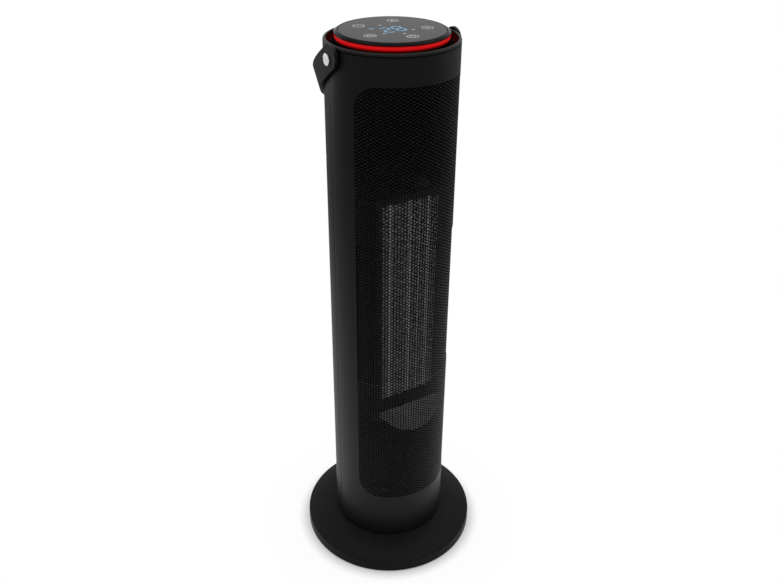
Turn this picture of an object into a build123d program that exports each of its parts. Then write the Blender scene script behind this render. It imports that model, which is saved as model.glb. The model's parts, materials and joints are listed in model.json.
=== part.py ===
from build123d import *
from math import acos, asin, cos, degrees, hypot, pi, radians, sin, tan
import os

# Tower fan heater, millimetres, +Z up, front towards -Y.
# The origin lies on the floor, on the axis that the column swings about.

os.makedirs("parts", exist_ok=True)

# Column
column_radius = 75.0
column_wall = 2.4
column_height = 665.1
seam_angle = 93.5
seam_groove = 0.7
fit_gap = 0.05
wall_overlap = 0.3

# Round base
foot_drop = 2.0
foot_radius = 8.0
foot_recess = 0.6
foot_count = 6
foot_circle = 96.0
base_radius = 116.3
base_height = 26.2
base_side_height = 13.4
base_bevel = 2.6
dome_rise = 1.4
cover_wall = 2.6
plate_thickness = 2.5
plate_gap = 0.3
plate_lip = 2.0
base_boss_radius = 4.5
base_screw_circle = 98.0
base_screw_radius = 1.6
base_screw_head = 3.0
base_screw_head_height = 1.8
base_screw_length = 11.0
base_screw_hole = 10.0
screw_clearance = 0.2
foot_chamfer = 0.5
cover_rib_inset = 24.0
stop_play = 4.0
stop_pin_radius = 3.0
stop_pin_drop = 2.0

# Swivel
hub_radius = 27.0
hub_bore = 20.0
running_gap = 0.05
bush_wall = 6.0
bush_flange = 1.0
bush_flange_width = 7.0
thrust_gap = 0.2
floor_thickness = 3.5
skirt_height = 12.0
skirt_wall = 2.5
swing_limit = 35.0

# Gear pair under the cover
gear_module = 1.5
sector_teeth = 72
pinion_teeth = 16
pressure_angle = 20.0
gear_thickness = 4.6
gear_backlash = 0.14
mesh_slack = 0.1
sector_half_angle = 47.5
gear_screw_circle = 23.5
swing_shaft_radius = 2.5
motor_can_radius = 15.0
motor_shaft_offset = 6.0
motor_ear_reach = 20.0
motor_ear_width = 7.0
motor_ear_thickness = 1.0
motor_post_radius = 3.2
motor_round = 0.8
shaft_floor = 2.2
gear_screw_count = 4
gear_screw_engagement = 6.0
gear_screw_head = 1.8
sector_web = 8.0

# Front grille
grille_half_angle = 63.5
grille_bottom = 97.5
grille_top = 660.0
grille_corner = 26.0
grille_sheet = 0.8
grille_recess = 1.0
grille_margin = 5.0
rebate_slack = 0.6
grid_columns = 12
grid_rows = 14
grid_bar = 4.0
grid_border = 3.0

# Rear intake slots
slot_columns = 15
slot_rows = 4
slot_width = 5.0
slot_length = 62.0
slot_bar = 10.0
slot_span = 105.0
slot_start = 250.0

# Seam bosses and screws
seam_levels = (62.0, 205.0, 390.0, 560.0, 664.0)
boss_offset = 66.5
boss_radius = 4.5
boss_gap = 0.15
boss_front = 16.0
boss_rear = 16.0
boss_tube = 36.0
screw_radius = 1.7
screw_head_radius = 3.2
screw_head_height = 2.2
screw_head_inset = 3.0
screw_head_clearance = 0.3
screw_engagement = 8.0
cut_overrun = 4.0

# Top tray, light ring and control panel
lip_height = 4.5
lip_width = 3.5
lip_round = 2.2
lip_inner_round = 0.8
tray_floor_drop = 8.5
tray_floor = 2.0
tray_skirt = 18.0
tray_wall = 2.4
drum_radius = 62.0
drum_wall = 4.0
ring_radius = 62.6
ring_width = 4.2
ring_height = 3.8
ring_lift = 0.7
panel_radius = 63.0
panel_height = 3.0
panel_side = 1.0
panel_bevel = 3.2
panel_floor = 1.4
panel_edge = 0.4
panel_joint = 0.7
spigot_drop = 2.5
spigot_wall = 2.0
touch_count = 5
touch_circle = 38.0
touch_radius = 4.5
touch_turn = 3.4
display_board_radius = 52.0
display_board_drop = 6.4
display_post_circle = 44.0
display_post_radius = 2.5
display_post_count = 4
glass_chamfer = 0.3
edge_find = 0.01
digit_block_width = 30.0
digit_block_depth = 20.0
digit_block_y = -2.0
digit_window_width = 10.0
digit_window_depth = 16.0
digit_window_drop = 0.6
digit_spacing = 13.0
lamp_count = 6
lamp_circle = 22.0
lamp_width = 3.4
lamp_depth = 1.6

# Handle
pivot_height = 680.0
pivot_radius = 3.0
pivot_head_radius = 6.5
pivot_head_height = 1.2
pivot_length = 19.0
pivot_slot = 1.4
pivot_boss_radius = 5.6
pivot_boss_length = 14.0
washer_radius = 7.5
washer_slack = 0.1
strap_gap = 0.95
strap_thickness = 3.5
strap_width = 27.0
strap_straight = 9.0
strap_reach = 106.5
strap_tab = 18.5
strap_tilt = 35.0
strap_end_flat = 0.2
swing_gap = 0.15

# Air path
case_floor_height = 238.4
case_height = 288.6
bulkhead = 2.4
bulkhead_gap = 0.6
bulkhead_chord = 54.7
roof_chord = 46.0
ledge_width = 5.0
ledge_thickness = 2.0
ledge_half_angle = 70.0
sill_depth = 18.0
sill_drop = 27.2
sill_thickness = 1.8
sill_lap = 6.0
fan_x = -4.0
fan_y = 21.0
fan_radius = 26.0
fan_inner_radius = 19.5
blade_count = 22
blade_thickness = 1.0
fan_disc = 2.0
fan_disc_count = 4
fan_end_gap = 4.0
fan_hub_radius = 7.0
fan_hub_height = 14.0
blade_sweep = 14.0
blade_bow = 0.3
blade_tip_gap = 0.3
scroll_gap = 3.0
scroll_growth = 9.0
scroll_start = 75.0
scroll_end = 212.0
scroll_wall_thickness = 1.8
tongue_angle = -22.0
tongue_gap = 2.5
tongue_lip = 2.2
tongue_back = 20.0

# Heating element
element_width = 78.0
element_front = 43.0
element_depth = 12.0
frame_side = 5.8
frame_front = 1.0
frame_depth = 16.0
frame_bottom = 10.1
frame_top = 7.5
tube_count = 3
tube_width = 3.4
fin_plate = 0.7
fin_pitch = 6.4
fin_sheet = 0.5
fin_gap = 0.15
terminal_width = 6.0
terminal_length = 8.0
terminal_thickness = 0.8
cutout_radius = 8.0
cutout_height = 6.5
cutout_x = 22.0
cutout_y = -32.0
cutout_flange = 2.6
cutout_flange_width = 7.0

# Fan motor
motor_radius = 29.0
motor_height = 48.0
motor_gap = 14.0
motor_flange = 2.4
motor_cap = 8.0
shaft_radius = 3.0
shaft_inset = 6.0
stub_length = 15.0
mount_radius = 5.0
mount_circle = 30.0
mount_count = 3
mount_pad = 1.5
bearing_radius = 8.0
bearing_neck = 6.0
bearing_round = 1.5
bearing_height = 7.0
shaft_clearance = 2.0

# Electronics
carrier_width = 84.0
carrier_height = 92.0
carrier_thickness = 2.4
carrier_foot = 14.0
carrier_y = 28.0
post_inset = 3.0
floor_rib = 5.0
board_gap = 4.0
board_thickness = 1.6
board_margin = 4.0
relay_width = 20.0
relay_height = 16.0
relay_depth = 16.0
transformer_width = 32.0
transformer_height = 26.0
transformer_depth = 20.0
core_share = 0.6
coil_share = 0.8
edge_round = 1.0
capacitor_radius = 8.0
tilt_switch_x = 50.0
tilt_switch_size = 15.0

# Mains switch and cord gland
switch_height = 74.0
switch_width = 14.0
switch_length = 21.0
switch_frame = 2.4
switch_flange = 2.0
switch_lift = 1.0
switch_corner = 1.5
switch_depth = 16.0
rocker_depth = 7.5
rocker_gap = 0.4
rocker_tilt = 9.0
rocker_inset = 2.5
rocker_pin = 1.2
rocker_pin_play = 0.2
gland_radius = 5.9
gland_flange = 1.6
gland_neck = 4.8
gland_bore = 3.7
gland_height = 9.4
gland_length = 5.6

# Heights and radii that follow from the sizes above
cover_top = foot_drop + base_height
column_bottom = cover_top + bush_flange + thrust_gap
rim_top = column_bottom + column_height
shell_top = rim_top - lip_height
shell_inner = column_radius - column_wall
inner_fit = shell_inner - fit_gap
plate_top = foot_drop + plate_thickness
bush_bore = hub_radius + running_gap
bush_radius = bush_bore + bush_wall
bush_bottom = cover_top - cover_wall - thrust_gap
gear_top = bush_bottom - thrust_gap
gear_bottom = gear_top - gear_thickness
sector_radius = gear_module * sector_teeth / 2
pinion_radius = gear_module * pinion_teeth / 2
gear_centres = sector_radius + pinion_radius + mesh_slack
rebate_radius = column_radius - grille_recess
sheet_outer = rebate_radius - fit_gap
sheet_inner = sheet_outer - grille_sheet
seam_y = -column_radius * cos(radians(seam_angle))
case_roof_height = case_floor_height + case_height
fan_bottom = case_floor_height + fan_end_gap
fan_top = case_roof_height - fan_end_gap
frame_y = -(element_front + frame_front)
frame_back = frame_y + frame_depth
fin_bottom = case_floor_height + frame_bottom
fin_top = case_roof_height - frame_top
drum_top = rim_top + ring_lift
ring_top = drum_top + ring_height
panel_top = ring_top + panel_height
strap_inner = column_radius + strap_gap
strap_outer = strap_inner + strap_thickness
motor_top = case_floor_height - bulkhead - motor_gap


def front_plane(height):
    """Level plane whose local -X points to the front."""
    return Plane(origin=(0, 0, height), x_dir=(0, 1, 0), z_dir=(0, 0, 1))


def rear_plane(height):
    """Level plane whose local -X points to the rear."""
    return Plane(origin=(0, 0, height), x_dir=(0, -1, 0), z_dir=(0, 0, 1))


def ring_sector(inner_radius, outer_radius, half_angle, middle=180):
    """Face between two arcs about the axis, centred on the middle angle."""
    with BuildSketch() as face:
        with BuildLine():
            outer = CenterArc((0, 0), outer_radius, middle - half_angle, 2 * half_angle)
            inner = CenterArc((0, 0), inner_radius, middle - half_angle, 2 * half_angle)
            Line(outer @ 0, inner @ 0)
            Line(outer @ 1, inner @ 1)
        make_face()
    return face.sketch


def opening_block(margin, inner_radius, outer_radius):
    """Curved block of the grille opening's rounded outline, grown by margin."""
    reach = grille_corner + margin
    side_angle = grille_half_angle + degrees(margin / column_radius)
    corner_angle = side_angle - degrees(asin(reach / column_radius))
    low = grille_bottom - margin
    height = grille_top - grille_bottom + 2 * margin
    with BuildPart() as block:
        with BuildSketch(front_plane(low + reach)):
            add(ring_sector(inner_radius / 2, 2 * outer_radius, side_angle))
        extrude(amount=height - 2 * reach)
        with BuildSketch(front_plane(low)):
            add(ring_sector(inner_radius / 2, 2 * outer_radius, corner_angle))
        extrude(amount=height)
        for side in (-1, 1):
            outward = (side * sin(radians(corner_angle)), -cos(radians(corner_angle)), 0)
            for level in (low + reach, low + height - reach):
                with BuildSketch(Plane(origin=(0, 0, level), z_dir=outward).offset(inner_radius / 2)):
                    Circle(reach)
                extrude(amount=outer_radius)
        with BuildSketch(front_plane(low)):
            Circle(outer_radius)
            Circle(inner_radius, mode=Mode.SUBTRACT)
        extrude(amount=height, mode=Mode.INTERSECT)
    return block.part


def seam_bosses(start, end, bore):
    """Screw bosses along Y inside both seams, each webbed to the shell's wall."""
    plane = Plane(origin=(0, start, 0), x_dir=(1, 0, 0), z_dir=(0, 1, 0))
    with BuildPart() as bosses:
        with BuildSketch(plane):
            for level in seam_levels:
                for side in (-1, 1):
                    with Locations((side * boss_offset, -level)):
                        Circle(boss_radius)
                    with Locations((side * (boss_offset + boss_radius), -level)):
                        Rectangle(2 * boss_radius, boss_radius)
        extrude(amount=end - start)
        with BuildSketch(plane):
            for level in seam_levels:
                with Locations((-boss_offset, -level), (boss_offset, -level)):
                    Circle(bore)
        extrude(amount=end - start, mode=Mode.SUBTRACT)
        with BuildSketch(Plane.XY.offset(column_bottom)):
            Circle(shell_inner + wall_overlap)
        extrude(amount=column_height, mode=Mode.INTERSECT)
    return bosses.part


def shell_layer(inner_radius, outer_radius, plane, half_angle):
    """Layer of the column's wall on one side, over its whole height."""
    with BuildPart() as layer:
        with BuildSketch(plane):
            add(ring_sector(inner_radius, outer_radius, half_angle))
        extrude(amount=shell_top - column_bottom)
    return layer.part


def cover_profile(inset, floor):
    """Half section of the base, moved inwards by inset, down to floor."""
    edge = base_radius - inset
    side_top = foot_drop + base_side_height
    bevel_top = side_top + base_bevel
    flat_radius = column_radius + 2
    middle = ((edge - base_bevel + flat_radius) / 2, (bevel_top + cover_top) / 2 + dome_rise - inset)
    with BuildSketch(Plane.XZ) as profile:
        with BuildLine():
            Polyline((0, floor), (edge, floor), (edge, side_top - inset))
            ThreePointArc(
                (edge, side_top - inset),
                (edge - 0.3 * base_bevel, side_top - inset + 0.7 * base_bevel),
                (edge - base_bevel, bevel_top - inset),
            )
            ThreePointArc((edge - base_bevel, bevel_top - inset), middle, (flat_radius, cover_top - inset))
            Polyline((flat_radius, cover_top - inset), (0, cover_top - inset), (0, floor))
        make_face()
    return profile.sketch


def tooth_half_angle(teeth, radius):
    """Half the angle of an involute tooth at a radius, in radians."""
    pitch = gear_module * teeth / 2
    base = pitch * cos(radians(pressure_angle))
    at_pitch = pi / (2 * teeth) - gear_backlash / (2 * pitch)
    flank = acos(base / max(radius, base))
    return at_pitch + (tan(radians(pressure_angle)) - radians(pressure_angle)) - (tan(flank) - flank)


def gear_face(teeth, bore, first_angle, tooth_total):
    """Sketch of a spur gear, or of a run of its teeth on a full hub disc."""
    pitch = gear_module * teeth / 2
    root = pitch - 1.25 * gear_module
    tip = pitch + gear_module
    radii = [root - 0.4, pitch - 0.4 * gear_module, pitch, pitch + 0.5 * gear_module, tip]
    halves = [tooth_half_angle(teeth, radius) for radius in radii]
    left = [(radius * cos(half), radius * sin(half)) for radius, half in zip(radii, halves)]
    right = [(x, -y) for x, y in reversed(left)]
    with BuildSketch() as gear:
        Circle(root)
        with PolarLocations(0, tooth_total, first_angle, tooth_total * 360 / teeth):
            Polygon(*left, *right, align=None)
        Circle(bore, mode=Mode.SUBTRACT)
    return gear.sketch


def screw(head_radius, head_height, shank_radius, shank_length):
    """Pan-head screw along +Z, its head under the origin plane."""
    with BuildPart() as body:
        with BuildSketch(Plane.XY.offset(-head_height)):
            Circle(head_radius)
        extrude(amount=head_height)
        chamfer(body.edges().group_by(Axis.Z)[0], length=0.25 * head_height)
        with BuildSketch():
            Circle(shank_radius)
        extrude(amount=shank_length)
    return body.part


def save(name, piece):
    """Label a finished piece and write its file."""
    piece.label = name
    export_step(piece, f"parts/{name}.step")


# Base cover: domed shell with a hub hole, screw bosses and ribs under it

with BuildPart() as cover_cavity:
    add(cover_profile(cover_wall, foot_drop - 1))
    revolve(axis=Axis.Z)
    with BuildSketch(Plane.XY.offset(plate_top)):
        with PolarLocations(base_screw_circle, foot_count, 360 / foot_count / 2):
            Circle(base_boss_radius)
    extrude(amount=base_height, mode=Mode.SUBTRACT)
    with BuildSketch(Plane.XY.offset(plate_top + plate_lip + plate_gap)):
        with PolarLocations((base_screw_circle + base_radius) / 2, foot_count, 360 / foot_count / 2):
            Rectangle(base_radius - base_screw_circle, cover_wall)
    extrude(amount=base_height, mode=Mode.SUBTRACT)
    with BuildSketch(Plane.XY.offset(gear_top - thrust_gap)):
        with PolarLocations(0, foot_count, 0):
            with Locations(((base_radius + bush_radius) / 2 + cover_rib_inset, 0)):
                Rectangle(base_radius - bush_radius - 2 * cover_rib_inset, cover_wall)
    extrude(amount=base_height, mode=Mode.SUBTRACT)

with BuildPart() as base_cover:
    add(cover_profile(0, foot_drop))
    revolve(axis=Axis.Z)
    add(cover_cavity.part, mode=Mode.SUBTRACT)
    with BuildSketch(Plane.XY.offset(gear_bottom)):
        Circle(bush_radius)
    extrude(amount=base_height, mode=Mode.SUBTRACT)
    with BuildSketch(Plane.XY.offset(plate_top)):
        with PolarLocations(base_screw_circle, foot_count, 360 / foot_count / 2):
            Circle(base_screw_radius)
    extrude(amount=base_screw_hole, mode=Mode.SUBTRACT)
    with BuildSketch(Plane.XZ.offset(-base_radius - 1)):
        with Locations((0, gland_height)):
            Circle(gland_neck)
    extrude(amount=3 * cover_wall, mode=Mode.SUBTRACT)
    with BuildSketch(Plane.XZ.offset(-base_radius - 1)):
        with Locations((0, gland_height)):
            Circle(gland_radius)
    extrude(amount=gland_flange + 1, mode=Mode.SUBTRACT)
save("base_cover", base_cover.part)

# Base plate: disc with screw holes, motor posts, swing stops and foot recesses

motor_y = gear_centres + motor_shaft_offset
motor_seat = gear_bottom - motor_ear_thickness
stop_angle = sector_half_angle + swing_limit + stop_play
stop_radius = sector_radius - stop_pin_radius
plate_radius = base_radius - cover_wall - plate_gap
with BuildPart() as base_plate:
    with BuildSketch(Plane.XY.offset(foot_drop)):
        Circle(plate_radius)
        with PolarLocations(base_screw_circle, foot_count, 360 / foot_count / 2):
            Circle(base_screw_radius + screw_clearance, mode=Mode.SUBTRACT)
    extrude(amount=plate_thickness)
    with BuildSketch(Plane.XY.offset(plate_top)):
        Circle(plate_radius - plate_lip)
        Circle(plate_radius - 2 * plate_lip, mode=Mode.SUBTRACT)
        with PolarLocations(base_screw_circle, foot_count, 360 / foot_count / 2):
            Circle(base_boss_radius + 1, mode=Mode.SUBTRACT)
        with Locations((0, base_radius - cover_wall)):
            Circle(2 * gland_radius, mode=Mode.SUBTRACT)
    extrude(amount=plate_lip)
    with BuildSketch(Plane.XY.offset(plate_top)):
        with Locations((-motor_ear_reach, motor_y), (motor_ear_reach, motor_y)):
            Circle(motor_post_radius)
    extrude(amount=motor_seat - motor_ear_thickness - plate_top)
    with BuildSketch(Plane.XY.offset(plate_top)):
        with PolarLocations(stop_radius, 2, 90 - stop_angle, 4 * stop_angle):
            Circle(stop_pin_radius)
    extrude(amount=gear_top - stop_pin_drop - plate_top)
    with BuildSketch(Plane.XY.offset(foot_drop)):
        with PolarLocations(foot_circle, foot_count, 0):
            Circle(foot_radius)
    extrude(amount=foot_recess, mode=Mode.SUBTRACT)
save("base_plate", base_plate.part)

with BuildPart() as base_feet:
    with BuildSketch():
        with PolarLocations(foot_circle, foot_count, 0):
            Circle(foot_radius)
    extrude(amount=foot_drop + foot_recess)
    chamfer(base_feet.edges().group_by(Axis.Z)[0], length=foot_chamfer)
save("base_feet", base_feet.part)

base_screw = screw(base_screw_head, base_screw_head_height, base_screw_radius, base_screw_length)
with BuildPart() as base_screws:
    with PolarLocations(base_screw_circle, foot_count, 360 / foot_count / 2):
        with Locations((0, 0, foot_drop)):
            add(base_screw)
save("base_screws", base_screws.part)

with BuildPart() as cord_gland:
    with BuildSketch(Plane.XZ.offset(-base_radius)):
        with Locations((0, gland_height)):
            Circle(gland_radius - fit_gap)
    extrude(amount=gland_flange)
    with BuildSketch(Plane.XZ.offset(-base_radius)):
        with Locations((0, gland_height)):
            Circle(gland_neck - fit_gap)
    extrude(amount=gland_length)
    with BuildSketch(Plane.XZ.offset(-base_radius)):
        with Locations((0, gland_height)):
            Circle(gland_bore)
    extrude(amount=gland_length, mode=Mode.SUBTRACT)
save("cord_gland", cord_gland.part)

# Bush between the cover and the column's hub

with BuildPart() as swivel_bush:
    with BuildSketch(Plane.XY.offset(bush_bottom)):
        Circle(bush_radius - fit_gap)
    extrude(amount=cover_top - bush_bottom)
    with BuildSketch(Plane.XY.offset(cover_top)):
        Circle(bush_radius + bush_flange_width)
    extrude(amount=bush_flange)
    fillet(swivel_bush.edges().group_by(Axis.Z)[-1], radius=0.4 * bush_flange)
    with BuildSketch(Plane.XY.offset(bush_bottom)):
        Circle(bush_bore)
    extrude(amount=base_height, mode=Mode.SUBTRACT)
save("swivel_bush", swivel_bush.part)

# Swing motor in the base, its pinion and the toothed sector on the hub

with BuildPart() as swing_motor:
    with BuildSketch(Plane.XY.offset(plate_top)):
        with Locations((0, motor_y)):
            Circle(motor_can_radius)
    extrude(amount=motor_seat - plate_top)
    fillet(swing_motor.edges().group_by(Axis.Z)[-1], radius=motor_round)
    with BuildSketch(Plane.XY.offset(motor_seat - motor_ear_thickness)):
        with Locations((0, motor_y)):
            SlotCenterToCenter(2 * motor_ear_reach, motor_ear_width)
    extrude(amount=motor_ear_thickness)
    with BuildSketch(Plane.XY.offset(plate_top + shaft_floor - thrust_gap)):
        with Locations((0, gear_centres)):
            Circle(swing_shaft_radius + running_gap)
    extrude(amount=base_height, mode=Mode.SUBTRACT)
save("swing_motor", swing_motor.part)

with BuildPart() as swing_pinion:
    with BuildSketch(Plane.XY.offset(gear_bottom)):
        with Locations((0, gear_centres)):
            add(gear_face(pinion_teeth, swing_shaft_radius, 90 + 180 / pinion_teeth, pinion_teeth))
    extrude(amount=gear_thickness)
save("swing_pinion", swing_pinion.part)

with BuildPart() as swing_shaft:
    with BuildSketch(Plane.XY.offset(plate_top + shaft_floor)):
        with Locations((0, gear_centres)):
            Circle(swing_shaft_radius)
    extrude(amount=gear_top - plate_top - shaft_floor)
save("swing_shaft", swing_shaft.part)

sector_pitch = 360 / sector_teeth
sector_count = 2 * round(sector_half_angle / sector_pitch) - 1
sector_first = 90 - (sector_count - 1) / 2 * sector_pitch
with BuildPart() as gear_sector:
    with BuildSketch(Plane.XY.offset(gear_bottom)):
        add(gear_face(sector_teeth, hub_bore, sector_first, sector_count))
        add(
            ring_sector(hub_radius + sector_web, sector_radius * 2, 180 - sector_half_angle, middle=-90),
            mode=Mode.SUBTRACT,
        )
        with PolarLocations(gear_screw_circle, gear_screw_count, 180 / gear_screw_count):
            Circle(screw_radius, mode=Mode.SUBTRACT)
    extrude(amount=gear_thickness)
save("gear_sector", gear_sector.part)

gear_screw = screw(
    screw_head_radius, gear_screw_head, screw_radius, gear_thickness + gear_screw_engagement
)
with BuildPart() as gear_screws:
    with PolarLocations(gear_screw_circle, gear_screw_count, 180 / gear_screw_count):
        with Locations((0, 0, gear_bottom)):
            add(gear_screw)
save("gear_screws", gear_screws.part)

# Column floor: disc with the hub that turns in the bush, and a skirt inside the shells

with BuildPart() as column_floor:
    with BuildSketch(Plane.XY.offset(column_bottom)):
        Circle(inner_fit)
    extrude(amount=floor_thickness)
    with BuildSketch(Plane.XY.offset(column_bottom)):
        Circle(inner_fit)
        Circle(inner_fit - skirt_wall, mode=Mode.SUBTRACT)
    extrude(amount=skirt_height)
    with BuildSketch(Plane.XY.offset(gear_top)):
        Circle(hub_radius)
    extrude(amount=column_bottom - gear_top)
    with BuildSketch(Plane.XY.offset(column_bottom + floor_thickness)):
        with PolarLocations((inner_fit + hub_radius) / 2, 8, 22.5):
            Rectangle(inner_fit - hub_radius, 2.0)
        Circle(hub_bore + 3)
    extrude(amount=floor_rib)
    with BuildSketch(Plane.XY.offset(gear_top)):
        Circle(hub_bore)
        with PolarLocations(gear_screw_circle, gear_screw_count, 180 / gear_screw_count):
            Circle(screw_radius)
    extrude(amount=column_bottom - gear_top + floor_thickness + floor_rib, mode=Mode.SUBTRACT)
save("column_floor", column_floor.part)

# Front shell: cap band, grille surround with a rebate behind it, and bottom band

groove_angle = degrees(seam_groove / column_radius)
outer_layer = shell_layer(
    rebate_radius, column_radius, front_plane(column_bottom), seam_angle - groove_angle
)
inner_layer = shell_layer(shell_inner, rebate_radius, front_plane(column_bottom), seam_angle)
cut_inner = shell_inner - cut_overrun
cut_outer = column_radius + cut_overrun
opening_cut = opening_block(0, cut_inner, cut_outer)
rebate_cut = opening_block(grille_margin + rebate_slack, cut_inner, cut_outer)
front_bosses = seam_bosses(seam_y - boss_front, seam_y - boss_gap, screw_radius)
with BuildPart() as front_lining:
    add(inner_layer)
    add(rebate_cut, mode=Mode.SUBTRACT)
    add(front_bosses)

with BuildPart() as front_shell:
    add(outer_layer)
    add(opening_cut, mode=Mode.SUBTRACT)
    add(front_lining.part)
    with BuildSketch(Plane.YZ):
        with Locations((0, pivot_height)):
            Circle(pivot_radius + swing_gap)
    extrude(amount=2 * column_radius, both=True, mode=Mode.SUBTRACT)
save("front_shell", front_shell.part)

# Grille sheet seated in the rebate from inside

sheet_blank = opening_block(grille_margin, sheet_inner, sheet_outer)
grid_outline = opening_block(-grid_border, sheet_inner - 1, sheet_outer + 1)
grid_step = 2 * grille_half_angle / grid_columns
grid_first = grid_step / 2 - 90 - grille_half_angle
grid_span = (grid_columns - 1) * grid_step
grid_pitch = (grille_top - grille_bottom) / grid_rows
grid_width = radians(grid_step) * column_radius - grid_bar
with BuildPart() as grid_cuts:
    for row in range(grid_rows):
        level = grille_bottom + (row + 0.5) * grid_pitch
        with PolarLocations(column_radius, grid_columns, grid_first, grid_span, endpoint=True):
            with Locations((0, 0, level)):
                Box(3 * column_wall, grid_width, grid_pitch - grid_bar)
    add(grid_outline, mode=Mode.INTERSECT)

with BuildPart() as front_grille:
    add(sheet_blank)
    add(grid_cuts.part, mode=Mode.SUBTRACT)
save("front_grille", front_grille.part)

# Rear shell: intake slots, deep screw bosses, ledges for the bulkheads, switch hole

rear_wall = shell_layer(shell_inner, column_radius, rear_plane(column_bottom), 180 - seam_angle)
screw_seat = seam_y + boss_rear - screw_head_inset
rear_bosses = seam_bosses(seam_y + boss_gap, seam_y + boss_tube, screw_radius)
with BuildPart() as rear_shell:
    add(rear_wall)
    add(rear_bosses)
    for level in (case_floor_height - bulkhead, case_roof_height):
        with BuildSketch(rear_plane(level - ledge_thickness)):
            add(ring_sector(shell_inner - ledge_width, shell_inner + wall_overlap, ledge_half_angle))
        extrude(amount=ledge_thickness)
    for row in range(slot_rows):
        middle = slot_start + slot_length / 2 + row * (slot_length + slot_bar)
        with PolarLocations(column_radius, slot_columns, 90 - slot_span / 2, slot_span, endpoint=True):
            with Locations((0, 0, middle)):
                Box(3 * column_wall, slot_width, slot_length, mode=Mode.SUBTRACT)
    for level in seam_levels:
        for side in (-1, 1):
            with Locations((side * boss_offset, column_radius / 2 + screw_seat, level)):
                Cylinder(
                    screw_head_radius + screw_head_clearance,
                    column_radius,
                    rotation=(90, 0, 0),
                    mode=Mode.SUBTRACT,
                )
    with Locations((0, column_radius, switch_height)):
        Box(switch_width, 4 * column_wall, switch_length, mode=Mode.SUBTRACT)
save("rear_shell", rear_shell.part)

# Screws through the rear bosses into the front ones

seam_screw = screw(screw_head_radius, screw_head_height, screw_radius, boss_rear + screw_engagement)
with BuildPart() as seam_screws:
    for level in seam_levels:
        for side in (-1, 1):
            seat = Plane(
                origin=(side * boss_offset, screw_seat, level),
                z_dir=(0, -1, 0),
            )
            with Locations(seat):
                add(seam_screw)
save("seam_screws", seam_screws.part)

# Top tray: rounded lip, groove round the drum, skirt and bosses for the handle's pivots

tray_top = rim_top - tray_floor_drop
lip_inner = column_radius - lip_width
with BuildPart() as top_tray:
    with BuildSketch(Plane.XZ):
        Polygon(
            (column_radius, shell_top),
            (column_radius, rim_top),
            (lip_inner, rim_top),
            (lip_inner, tray_top),
            (drum_radius, tray_top),
            (drum_radius, drum_top),
            (drum_radius - drum_wall, drum_top),
            (drum_radius - drum_wall, tray_top),
            (0, tray_top),
            (0, tray_top - tray_floor),
            (inner_fit - tray_wall, tray_top - tray_floor),
            (inner_fit - tray_wall, shell_top - tray_skirt),
            (inner_fit, shell_top - tray_skirt),
            (inner_fit, shell_top),
            align=None,
        )
    revolve(axis=Axis.Z)
    rim_edges = top_tray.edges().filter_by_position(Axis.Z, rim_top - edge_find, rim_top + edge_find)
    fillet(rim_edges.sort_by(SortBy.RADIUS)[-1], radius=lip_round)
    rim_edges = top_tray.edges().filter_by_position(Axis.Z, rim_top - edge_find, rim_top + edge_find)
    fillet(rim_edges.sort_by(SortBy.RADIUS)[0], radius=lip_inner_round)
    with BuildSketch(Plane.XY.offset(tray_top)):
        with PolarLocations(display_post_circle, display_post_count, 180 / display_post_count):
            Circle(display_post_radius)
    extrude(amount=ring_top - display_board_drop - board_thickness - tray_top)
    for side in (-1, 1):
        with BuildSketch(Plane(origin=(side * (inner_fit - 0.5), 0, pivot_height), z_dir=(-side, 0, 0))):
            Circle(pivot_boss_radius)
        extrude(amount=pivot_boss_length)
    with BuildSketch(Plane.YZ):
        with Locations((0, pivot_height)):
            Circle(pivot_radius)
    extrude(amount=2 * column_radius, both=True, mode=Mode.SUBTRACT)
save("top_tray", top_tray.part)

with BuildPart() as light_ring:
    with BuildSketch(Plane.XY.offset(drum_top)):
        Circle(ring_radius)
        Circle(ring_radius - ring_width, mode=Mode.SUBTRACT)
    extrude(amount=ring_height)
save("light_ring", light_ring.part)

# Control panel: bevelled bezel with a spigot in the light ring, and the touch glass let into it

glass_seat = ring_top + panel_floor
recess_radius = panel_radius - panel_bevel - panel_edge
spigot_radius = ring_radius - ring_width - fit_gap
with BuildPart() as panel_bezel:
    with BuildSketch(Plane.XZ):
        Polygon(
            (0, ring_top),
            (panel_radius, ring_top),
            (panel_radius, ring_top + panel_side),
            (panel_radius - panel_bevel, panel_top),
            (recess_radius, panel_top),
            (recess_radius, glass_seat),
            (0, glass_seat),
            align=None,
        )
    revolve(axis=Axis.Z)
    with BuildSketch(Plane.XY.offset(ring_top - spigot_drop)):
        Circle(spigot_radius)
        Circle(spigot_radius - spigot_wall, mode=Mode.SUBTRACT)
    extrude(amount=spigot_drop)
save("panel_bezel", panel_bezel.part)

with BuildPart() as panel_glass:
    with BuildSketch(Plane.XY.offset(glass_seat)):
        Circle(recess_radius - panel_joint)
    extrude(amount=panel_top - glass_seat)
    chamfer(panel_glass.edges().group_by(Axis.Z)[-1], length=glass_chamfer)
save("panel_glass", panel_glass.part)

board_top = ring_top - display_board_drop
with BuildPart() as display_board:
    with BuildSketch(Plane.XY.offset(board_top - board_thickness)):
        Circle(display_board_radius)
    extrude(amount=board_thickness)
save("display_board", display_board.part)

# Digit block with two windows let into its face, and the small lamps round it

with BuildPart() as digit_block:
    with BuildSketch(Plane.XY.offset(board_top)):
        with Locations((0, digit_block_y)):
            Rectangle(digit_block_width, digit_block_depth)
    extrude(amount=display_board_drop - 1)
    with BuildSketch(Plane.XY.offset(board_top + display_board_drop - 1)):
        with Locations((-digit_spacing / 2, digit_block_y), (digit_spacing / 2, digit_block_y)):
            Rectangle(digit_window_width, digit_window_depth)
    extrude(amount=-digit_window_drop, mode=Mode.SUBTRACT)
save("digit_block", digit_block.part)

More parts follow.
